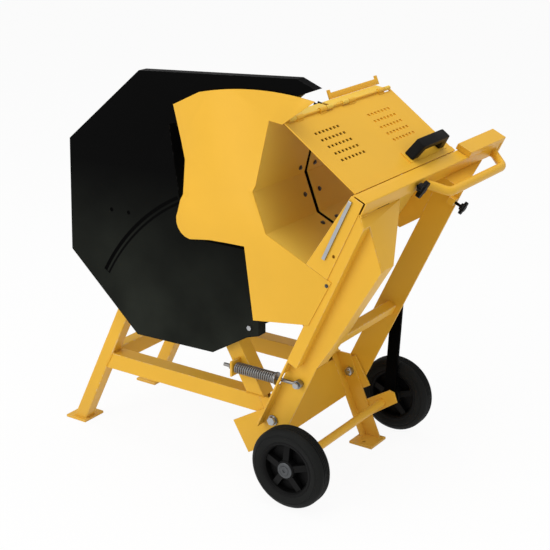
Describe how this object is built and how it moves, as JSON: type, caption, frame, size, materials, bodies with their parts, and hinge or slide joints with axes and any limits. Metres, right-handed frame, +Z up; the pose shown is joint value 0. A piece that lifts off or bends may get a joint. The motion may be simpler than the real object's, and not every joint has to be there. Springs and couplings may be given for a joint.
{
  "type": "swing cradle log saw",
  "caption": "Wheeled firewood saw: fixed blade behind a black eight-sided guard, yellow rocking log cradle with slotted lid and push handle, return spring, tube frame.",
  "frame": {"origin": "centre of the bounding box on the floor plane", "axes": "+Z up, +X from the blade towards the operator, +Y away from the guarded side, along the blade shaft and the swing axis"},
  "size_m": [1.127, 0.853, 1.149],
  "materials": {
    "yellow_paint": "gloss",
    "black_paint": "satin",
    "zinc_steel": "satin",
    "blade_steel": "satin",
    "spring_steel": "satin",
    "core_steel": "matte",
    "motor_alloy": "satin",
    "black_plastic": "matte",
    "tyre_rubber": "matte"
  },
  "bodies": {
    "frame": {"left_legs": "yellow_paint", "right_legs": "yellow_paint", "rails": "yellow_paint", "posts": "yellow_paint", "head_ties": "yellow_paint", "pivot_plates": "yellow_paint", "left_cross_rail": "yellow_paint", "right_cross_plate": "yellow_paint", "foot_plates": "yellow_paint", "axle_beam": "yellow_paint", "axle": "zinc_steel", "upright_bar": "black_paint", "motor_plate": "yellow_paint", "motor_housing": "motor_alloy", "fan_cover": "black_plastic", "terminal_box": "black_plastic", "stator": "core_steel", "motor_bearings": "zinc_steel", "front_cover": "black_paint", "cover_bolt": "zinc_steel", "hood_rear": "black_paint", "hood_front": "black_paint", "spring_tab": "yellow_paint", "pivot_bolts": "zinc_steel"},
    "spindle": {"motor_shaft": "zinc_steel", "rotor": "core_steel", "cooling_fan": "black_plastic", "blade": "blade_steel", "clamp_flanges": "zinc_steel", "arbor_nut": "zinc_steel"},
    "cradle": {"near_arm": "yellow_paint", "far_arm": "yellow_paint", "trough_front": "yellow_paint", "trough_rear": "yellow_paint", "slot_guards": "black_paint", "front_guard": "yellow_paint", "arm_gussets": "yellow_paint", "end_plate": "yellow_paint", "steel_strip": "zinc_steel", "operator_sheet": "yellow_paint", "crossbar": "yellow_paint", "top_beam": "yellow_paint", "push_handle": "yellow_paint", "deflector": "yellow_paint", "hinge_pin": "zinc_steel", "pivot_bushes": "zinc_steel", "spring_bolt": "zinc_steel"},
    "lid": {"lid": "yellow_paint", "lid_handle": "black_plastic"},
    "stop": {"length_stop": "yellow_paint"},
    "beam_knob": {"beam_knob": "black_plastic"},
    "arm_knob": {"arm_knob": "black_plastic"},
    "spring_rod": {"guide_rod": "zinc_steel", "spring": "spring_steel"},
    "near_wheel": {"near_tyre": "tyre_rubber", "near_rim": "black_plastic", "near_cap": "zinc_steel"},
    "far_wheel": {"far_tyre": "tyre_rubber", "far_rim": "black_plastic", "far_cap": "zinc_steel"}
  },
  "joints": [
    {"name": "cradle_swing", "type": "hinge", "parent": "frame", "child": "cradle", "pos_m": [0.2135, -0.1075, 0.2], "axis": [0, -1, 0], "range_deg": [0, 22]},
    {"name": "lid_hinge", "type": "hinge", "parent": "cradle", "child": "lid", "pos_m": [0.26148, -0.1075, 1.03918], "axis": [0, -1, 0], "range_deg": [0, 35]},
    {"name": "blade_spin", "type": "hinge", "parent": "frame", "child": "spindle", "pos_m": [-0.1005, -0.0975, 0.662], "axis": [0, 1, 0], "continuous": true},
    {"name": "rod_pivot", "type": "hinge", "parent": "cradle", "child": "spring_rod", "pos_m": [0.2995, -0.3295, 0.331], "axis": [0, -1, 0], "range_deg": [-13.31, 0], "deforming": ["spring"]},
    {"name": "stop_slide", "type": "slide", "parent": "cradle", "child": "stop", "axis": [0, 1, 0], "range_m": [0, 0.22]},
    {"name": "beam_knob_turn", "type": "hinge", "parent": "cradle", "child": "beam_knob", "pos_m": [0.5045, -0.0735, 0.84771], "axis": [0.9063, 0, -0.4226], "continuous": true},
    {"name": "arm_knob_turn", "type": "hinge", "parent": "cradle", "child": "arm_knob", "pos_m": [0.54663, 0.0895, 0.76296], "axis": [0.9063, 0, -0.4226], "continuous": true},
    {"name": "near_wheel_spin", "type": "hinge", "parent": "frame", "child": "near_wheel", "pos_m": [0.3195, -0.394, 0.121], "axis": [0, 1, 0], "continuous": true},
    {"name": "far_wheel_spin", "type": "hinge", "parent": "frame", "child": "far_wheel", "pos_m": [0.3195, 0.179, 0.121], "axis": [0, 1, 0], "continuous": true}
  ],
  "couplings": [
    {"joint": "rod_pivot", "follows": "cradle_swing", "ratio": -0.6052}
  ]
}
